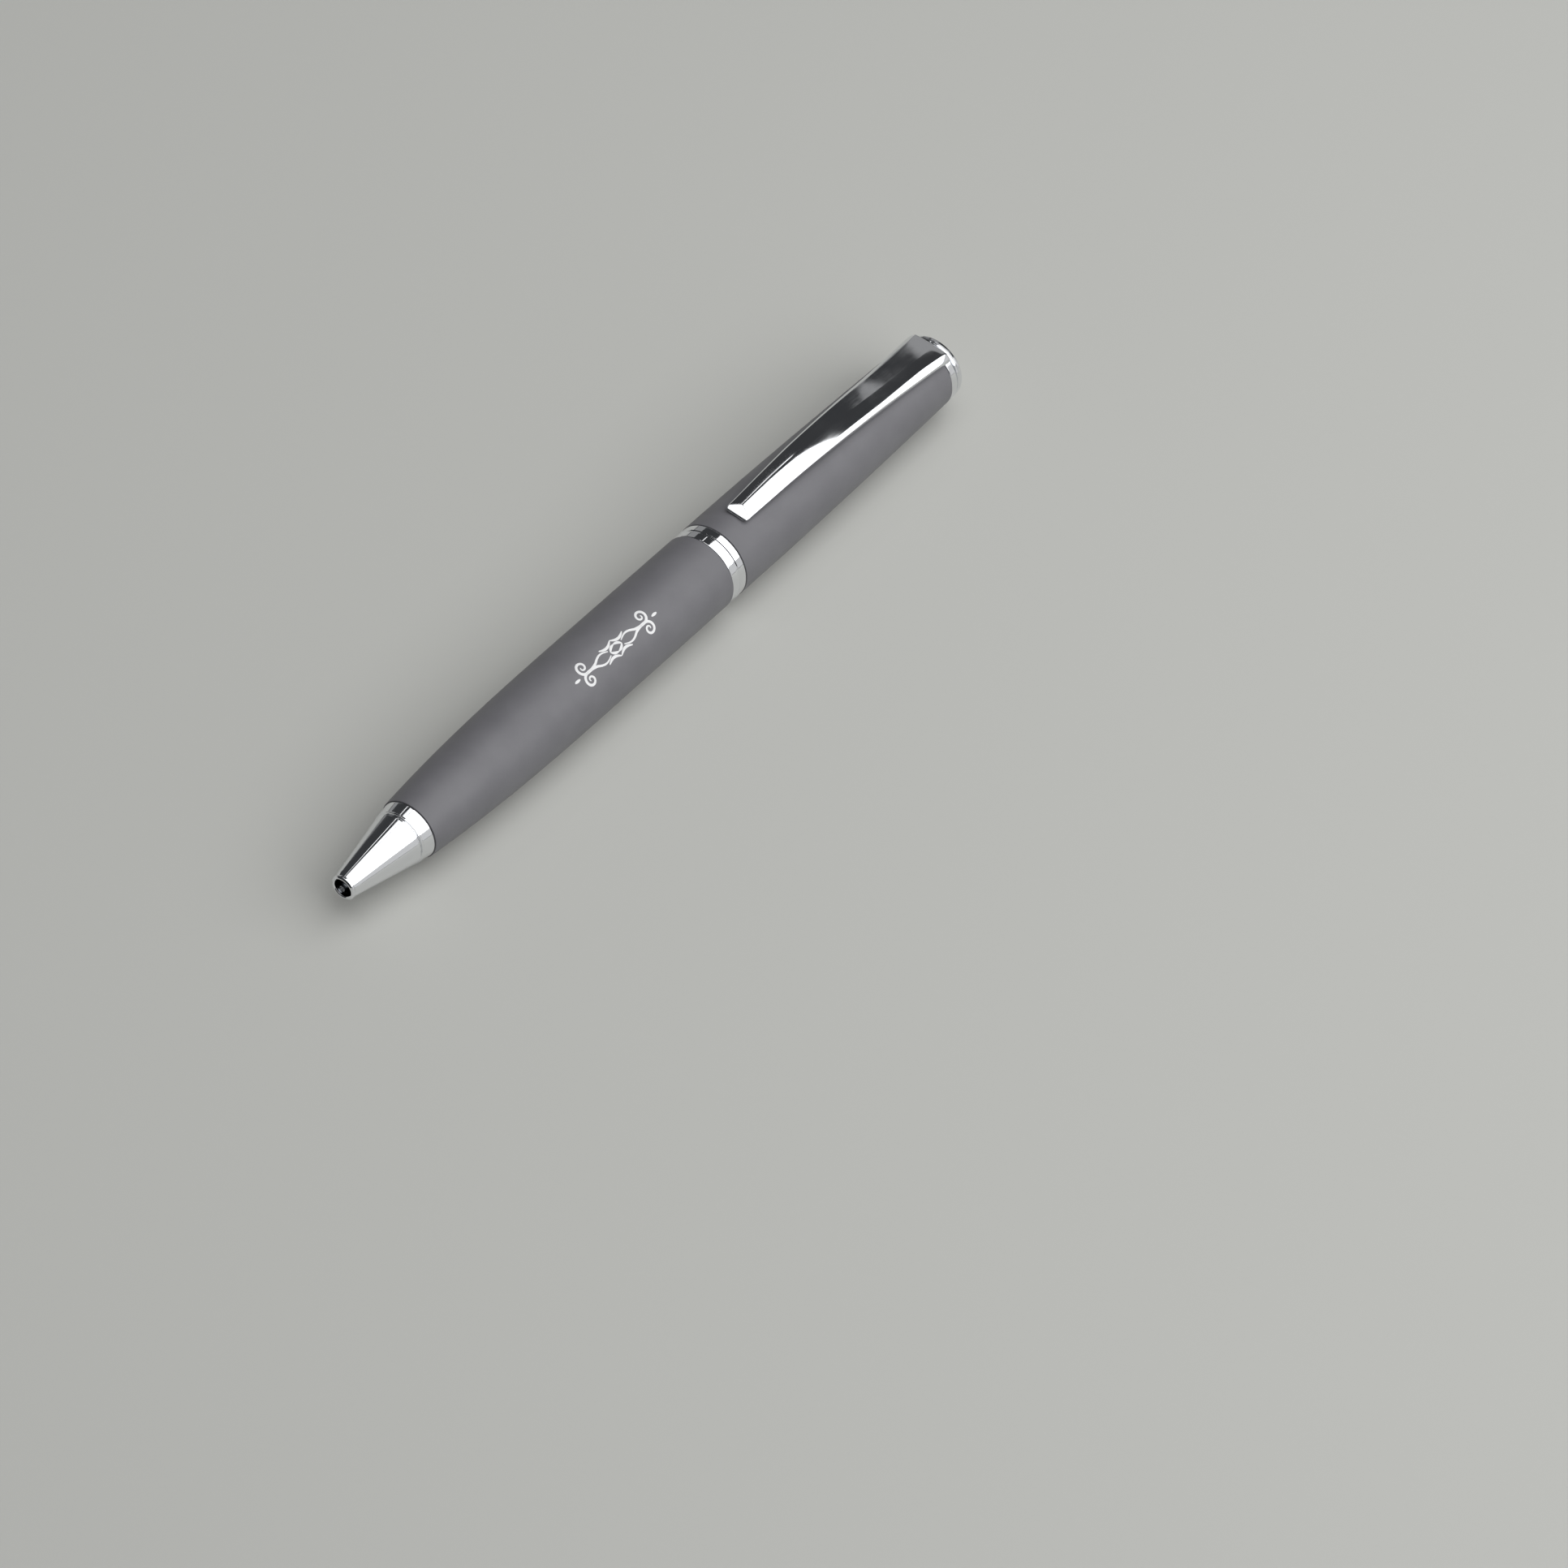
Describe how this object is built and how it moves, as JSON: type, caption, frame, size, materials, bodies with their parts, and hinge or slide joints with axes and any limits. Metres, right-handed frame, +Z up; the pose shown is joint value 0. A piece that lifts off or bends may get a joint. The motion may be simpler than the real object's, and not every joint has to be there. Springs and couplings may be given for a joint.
{
  "type": "rollerball pen",
  "caption": "Capless twist-action rollerball pen with a lacquered barrel, chromed nose, clip and cap end; turning the upper half runs the refill in and out.",
  "frame": {"origin": "under the middle of the pen's length, on the surface the barrel lies on", "axes": "+X along the pen from the writing tip to the top end, +Z up through the clip, +Y across the pen"},
  "size_m": [0.138, 0.012, 0.014],
  "materials": {
    "lacquer": "satin",
    "chrome": "mirror polished",
    "brass": "turned",
    "steel": "bright drawn",
    "polymer": "moulded satin",
    "rubber": "matte",
    "refill_body": "satin drawn",
    "carbide": "polished"
  },
  "bodies": {
    "lower_half": {"nose_cone": "chrome", "lower_barrel": "lacquer", "lower_bush": "brass", "mechanism_collar": "brass", "friction_ring": "rubber", "guide_tube": "polymer", "return_spring": "steel"},
    "upper_half": {"centre_ring": "chrome", "upper_barrel": "lacquer", "mechanism_housing": "brass", "cam_sleeve": "polymer", "housing_cap": "brass", "top_bush": "brass", "clip_ring": "chrome", "finial": "chrome"},
    "clip": {"clip": "chrome"},
    "refill": {"plunger": "polymer", "plunger_pin": "steel", "refill_tube": "refill_body", "refill_front": "polymer", "refill_plug": "polymer", "refill_tip": "steel", "writing_ball": "carbide"}
  },
  "joints": [
    {"name": "barrel_twist", "type": "hinge", "parent": "lower_half", "child": "upper_half", "pos_m": [0.0105, 0, 0.00604], "axis": [1, 0, 0], "range_deg": [0, 180]},
    {"name": "refill_slide", "type": "slide", "parent": "lower_half", "child": "refill", "axis": [-1, 0, 0], "range_m": [0, 0.0045], "deforming": ["return_spring"]},
    {"name": "clip_flex", "type": "hinge", "parent": "upper_half", "child": "clip", "pos_m": [0.0652, 0, 0.01084], "axis": [0, 1, 0], "range_deg": [0, 3], "stiffness_Nm_per_rad": 2}
  ],
  "couplings": [
    {"joint": "refill_slide", "follows": "barrel_twist", "m_per_rad": 0.001432}
  ]
}
